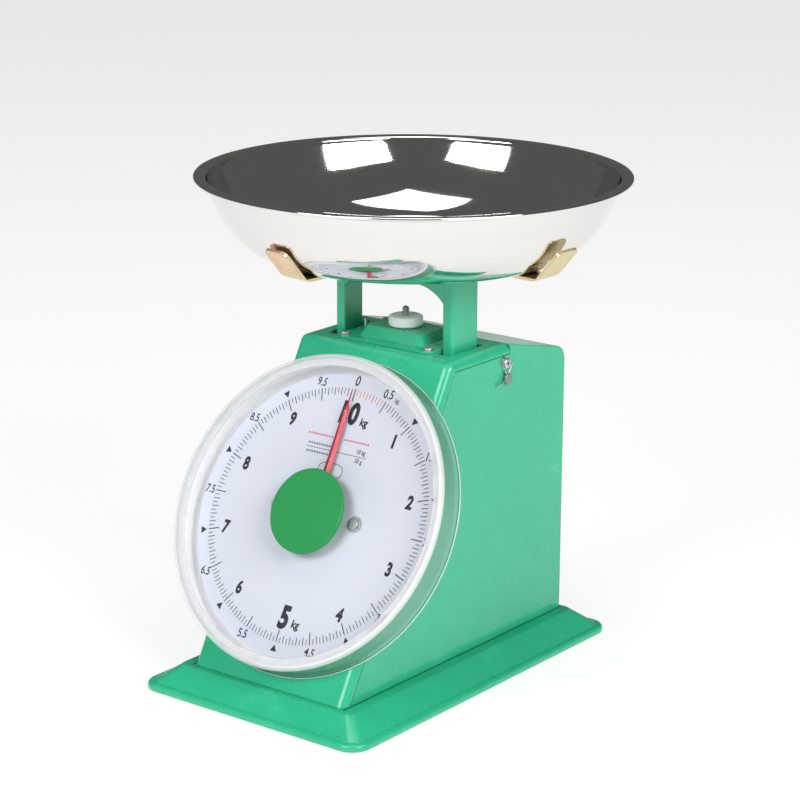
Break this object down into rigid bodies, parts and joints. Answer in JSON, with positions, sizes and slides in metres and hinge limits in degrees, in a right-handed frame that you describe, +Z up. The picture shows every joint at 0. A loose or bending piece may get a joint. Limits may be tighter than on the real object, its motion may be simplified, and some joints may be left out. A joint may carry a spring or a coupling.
{
  "type": "counter spring dial scale",
  "caption": "Bench-top spring scale with a slanted round dial, a turning pointer and a lift-off bowl pan on a sliding sprung frame.",
  "frame": {"origin": "on the table, under the middle of the overall box, pan included", "axes": "+X to the right of a person reading the dial, -Y towards that person, +Z up"},
  "size_m": [0.3, 0.3312, 0.3435],
  "materials": {
    "green_paint": "gloss",
    "zinc": "zinc plated",
    "steel": "plain rolled",
    "polished_steel": "mirror polished",
    "yellow_zinc": "yellow passivated zinc",
    "spring_steel": "drawn wire",
    "dark_steel": "blackened",
    "dial_white": "printed enamel",
    "clear_lens": "clear moulded",
    "pointer_red": "gloss",
    "disc_green": "gloss",
    "wheel_grey": "satin",
    "rubber": "matt",
    "brass": "machined",
    "lead": "dull cast",
    "tray_grey": "satin"
  },
  "bodies": {
    "housing": {"base_plate": "green_paint", "front_cover": "green_paint", "rear_cover": "green_paint", "chassis": "zinc", "top_bracket": "green_paint", "seal_stud": "zinc", "movement_front_plate": "steel", "movement_back_plate": "steel", "rack_guide": "brass", "dial_tray": "green_paint", "lens_ring": "tray_grey", "dial_plate": "dial_white", "dial_lens": "clear_lens", "seal_washer": "zinc", "seal_screw": "zinc", "lead_seal": "lead", "left_side_screw": "zinc", "rubber_feet": "rubber", "bracket_screws": "zinc", "rear_link_pins": "steel", "travel_stops": "rubber", "front_pillars": "steel", "back_pillars": "steel", "shaft_bushes": "brass", "dial_screws": "zinc", "dial_washers": "zinc", "rear_screws": "zinc", "seal_wire": "zinc"},
    "pan": {"pan": "polished_steel"},
    "load_frame": {"left_post": "green_paint", "right_post": "green_paint", "load_bridge": "green_paint", "spring_yoke": "zinc", "lower_spring_plugs": "steel", "front_link_pins": "steel", "carrier_strip_x": "yellow_zinc", "carrier_strip_y": "yellow_zinc", "carrier_rivet": "zinc", "rack_arm": "zinc", "bimetal_strip": "brass", "rack_pin": "steel"},
    "rack": {"rack": "brass"},
    "pointer": {"pointer": "pointer_red", "pointer_disc": "disc_green", "pointer_shaft": "steel", "pinion": "brass"},
    "upper_link": {"upper_link": "zinc"},
    "lower_link": {"lower_link": "zinc"},
    "zero_wheel": {"zero_wheel": "wheel_grey"},
    "hanger": {"hanger_bolt": "dark_steel", "spring_hanger": "zinc", "hanger_nut": "zinc", "upper_spring_plugs": "steel", "left_spring": "spring_steel", "right_spring": "spring_steel"}
  },
  "joints": [
    {"name": "load_slide", "type": "slide", "parent": "housing", "child": "load_frame", "axis": [0, 0, -1], "range_m": [0, 0.01719], "stiffness_N_per_m": 5700, "springref_m": -0.003, "deforming": ["left_spring", "right_spring"]},
    {"name": "pan_lift", "type": "slide", "parent": "load_frame", "child": "pan", "axis": [0, 0, 1], "range_m": [0, 0.15]},
    {"name": "rack_slide", "type": "slide", "parent": "housing", "child": "rack", "axis": [0, -0.4802, -0.8771], "range_m": [0, 0.0151]},
    {"name": "pointer_spin", "type": "hinge", "parent": "housing", "child": "pointer", "pos_m": [0, -0.09006, 0.1259], "axis": [0, 0.8771, -0.4802], "range_deg": [0, 360.2]},
    {"name": "upper_link_swing", "type": "hinge", "parent": "housing", "child": "upper_link", "pos_m": [0, 0.0819, 0.19], "axis": [1, 0, 0], "range_deg": [0, 14.2]},
    {"name": "lower_link_swing", "type": "hinge", "parent": "housing", "child": "lower_link", "pos_m": [0, 0.0819, 0.06], "axis": [1, 0, 0], "range_deg": [0, 14.2]},
    {"name": "zero_wheel_turn", "type": "hinge", "parent": "housing", "child": "zero_wheel", "pos_m": [0, 0.0079, 0.242], "axis": [0, 0, 1], "range_deg": [-361, 361]},
    {"name": "hanger_lift", "type": "slide", "parent": "housing", "child": "hanger", "axis": [0, 0, 1], "range_m": [-0.0008, 0.0008]}
  ],
  "couplings": [
    {"joint": "rack_slide", "follows": "load_slide", "ratio": 0.87715},
    {"joint": "pointer_spin", "follows": "load_slide", "rad_per_m": 365.48},
    {"joint": "upper_link_swing", "follows": "load_slide", "rad_per_m": 14.322},
    {"joint": "lower_link_swing", "follows": "load_slide", "rad_per_m": 14.322},
    {"joint": "zero_wheel_turn", "follows": "hanger_lift", "rad_per_m": 7854}
  ]
}
